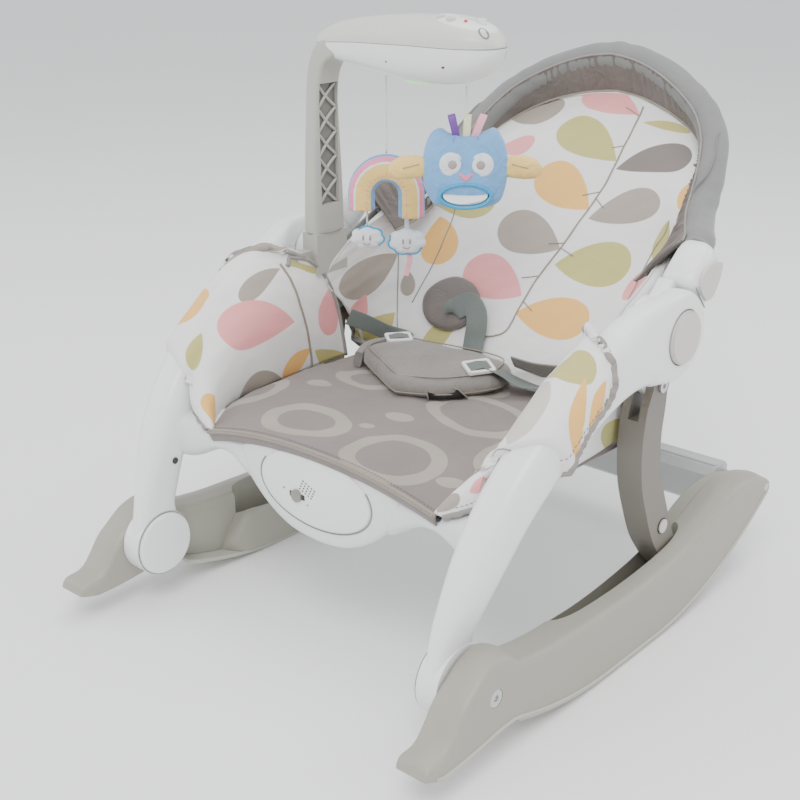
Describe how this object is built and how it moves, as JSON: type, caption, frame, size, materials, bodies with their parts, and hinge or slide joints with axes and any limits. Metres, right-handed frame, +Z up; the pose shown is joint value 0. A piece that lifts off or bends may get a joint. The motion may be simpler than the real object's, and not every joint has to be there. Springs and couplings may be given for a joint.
{
  "type": "bouncer seat",
  "caption": "Infant-to-toddler bouncer seat on curved rockers, with a reclining padded back, folding rear legs, a harness and a swivelling toy arm.",
  "frame": {"origin": "centre of the seat's box, on the floor plane under the runners' flat stretch", "axes": "+Z up, +Y to the back of the seat, +X to the right as seen from the front; the seat faces -Y"},
  "size_m": [0.494, 0.6244, 0.575],
  "materials": {
    "rocker": "satin moulded plastic",
    "rocker_bead": "satin",
    "white_plastic": "semi-gloss moulded plastic",
    "crossbar_grey": "satin",
    "leg_taupe": "satin",
    "cap_grey": "satin",
    "post_grey": "satin",
    "lattice_grey": "satin",
    "steel": "zinc plated",
    "brass_weight": "plain",
    "tube_white": "powder coat",
    "black_plastic": "plain",
    "board_green": "plain",
    "cell": "printed jacket",
    "pan_fabric": "brushed polyester",
    "print_fabric": "printed polyester",
    "rim_fabric": "ruched polyester",
    "band_fabric": "polyester",
    "harness_fabric": "padded polyester",
    "lens": "frosted",
    "toy_blue": "plush satin",
    "toy_rainbow": "plush satin",
    "toy_white": "plush satin",
    "mirror": "safety mirror film",
    "cord": "braided cord"
  },
  "bodies": {
    "base": {"rocker_right": "rocker", "rocker_left": "rocker", "rocker_sole_right": "rocker_bead", "rocker_sole_left": "rocker_bead", "rear_crossbar": "crossbar_grey", "crossbar_screws": "steel", "hub_pivot_bolts": "steel"},
    "side_frame": {"side_frame_right": "white_plastic", "side_frame_left": "white_plastic", "front_hub_right": "white_plastic", "front_hub_left": "white_plastic", "main_hub_right": "white_plastic", "main_hub_left": "white_plastic", "recline_pins": "steel", "leg_brackets": "white_plastic", "leg_pins": "steel", "seat_frame": "white_plastic", "front_housing": "white_plastic", "face_panel": "white_plastic", "vibration_motor": "steel", "battery_box": "black_plastic", "battery": "cell", "battery_door": "white_plastic", "circuit_board": "board_green", "seat_pad": "pan_fabric", "arm_cover_right": "print_fabric", "arm_cover_left": "print_fabric", "harness": "harness_fabric", "toy_socket": "post_grey", "button_springs": "steel"},
    "backrest": {"back_tube": "tube_white", "back_neck_right": "white_plastic", "back_neck_left": "white_plastic", "neck_caps": "cap_grey", "back_pad": "print_fabric", "tube_sleeve": "band_fabric", "ruched_rim": "rim_fabric"},
    "toy_arm": {"toy_post": "post_grey", "post_lattice": "lattice_grey", "pod_upper": "post_grey", "pod_lower": "white_plastic", "lamp_lens": "lens", "pod_board": "board_green"},
    "eccentric_weight": {"eccentric_weight": "brass_weight"},
    "vibration_switch": {"switch_knob": "cap_grey"},
    "recline_button_right": {"recline_button_right": "cap_grey"},
    "recline_button_left": {"recline_button_left": "cap_grey"},
    "rear_leg_right": {"rear_leg_right": "leg_taupe"},
    "rear_leg_left": {"rear_leg_left": "leg_taupe"},
    "leg_button_right": {"leg_button_right": "cap_grey"},
    "leg_button_left": {"leg_button_left": "cap_grey"},
    "pod_button_a": {"pod_button_a": "white_plastic"},
    "pod_button_b": {"pod_button_b": "white_plastic"},
    "pod_button_c": {"pod_button_c": "white_plastic"},
    "rainbow": {"rainbow_toy": "toy_rainbow", "rainbow_cord": "cord", "cloud_charms": "toy_white"},
    "owl": {"owl_toy": "toy_blue", "owl_mirror": "mirror", "owl_cord": "cord"}
  },
  "joints": [
    {"name": "frame_fold", "type": "hinge", "parent": "base", "child": "side_frame", "pos_m": [0, -0.22513, 0.066], "axis": [1, 0, 0], "range_deg": [-20, 0]},
    {"name": "recline", "type": "hinge", "parent": "side_frame", "child": "backrest", "pos_m": [0, 0.03787, 0.312], "axis": [1, 0, 0], "range_deg": [0, 20]},
    {"name": "rear_leg_fold_right", "type": "hinge", "parent": "side_frame", "child": "rear_leg_right", "pos_m": [0.205, 0.04887, 0.257], "axis": [1, 0, 0], "range_deg": [-57, 0]},
    {"name": "recline_button_press_right", "type": "slide", "parent": "side_frame", "child": "recline_button_right", "axis": [-1, 0, 0], "range_m": [0, 0.004], "stiffness_N_per_m": 400, "springref_m": -0.002},
    {"name": "leg_button_press_right", "type": "slide", "parent": "rear_leg_right", "child": "leg_button_right", "axis": [-1, 0, 0], "range_m": [0, 0.003], "stiffness_N_per_m": 400, "springref_m": -0.002},
    {"name": "rear_leg_fold_left", "type": "hinge", "parent": "side_frame", "child": "rear_leg_left", "pos_m": [-0.205, 0.04887, 0.257], "axis": [1, 0, 0], "range_deg": [-57, 0]},
    {"name": "recline_button_press_left", "type": "slide", "parent": "side_frame", "child": "recline_button_left", "axis": [1, 0, 0], "range_m": [0, 0.004], "stiffness_N_per_m": 400, "springref_m": -0.002},
    {"name": "leg_button_press_left", "type": "slide", "parent": "rear_leg_left", "child": "leg_button_left", "axis": [1, 0, 0], "range_m": [0, 0.003], "stiffness_N_per_m": 400, "springref_m": -0.002},
    {"name": "vibration_switch_slide", "type": "slide", "parent": "side_frame", "child": "vibration_switch", "axis": [1, 0, 0], "range_m": [-0.006, 0.006]},
    {"name": "weight_spin", "type": "hinge", "parent": "side_frame", "child": "eccentric_weight", "pos_m": [0.06, -0.13713, 0.142], "axis": [1, 0, 0], "continuous": true},
    {"name": "toy_arm_swivel", "type": "hinge", "parent": "side_frame", "child": "toy_arm", "pos_m": [-0.187, 0.02387, 0.34], "axis": [0, 0, 1], "range_deg": [-90, 0]},
    {"name": "pod_button_press_a", "type": "slide", "parent": "toy_arm", "child": "pod_button_a", "axis": [0, 0, -1], "range_m": [0, 0.0015], "stiffness_N_per_m": 300, "springref_m": -0.001},
    {"name": "pod_button_press_b", "type": "slide", "parent": "toy_arm", "child": "pod_button_b", "axis": [0, 0, -1], "range_m": [0, 0.0015], "stiffness_N_per_m": 300, "springref_m": -0.001},
    {"name": "pod_button_press_c", "type": "slide", "parent": "toy_arm", "child": "pod_button_c", "axis": [0, 0, -1], "range_m": [0, 0.0015], "stiffness_N_per_m": 300, "springref_m": -0.001},
    {"name": "rainbow_swing", "type": "hinge", "parent": "toy_arm", "child": "rainbow", "pos_m": [-0.098, 0.02387, 0.517], "axis": [0.7547, 0.6561, 0], "range_deg": [-15, 15]},
    {"name": "owl_swing", "type": "hinge", "parent": "toy_arm", "child": "owl", "pos_m": [0.003, 0.02387, 0.514], "axis": [0.7547, 0.6561, 0], "range_deg": [-15, 15]}
  ],
  "couplings": [
    {"joint": "rear_leg_fold_right", "follows": "frame_fold", "ratio": 2.8},
    {"joint": "rear_leg_fold_left", "follows": "frame_fold", "ratio": 2.8}
  ]
}
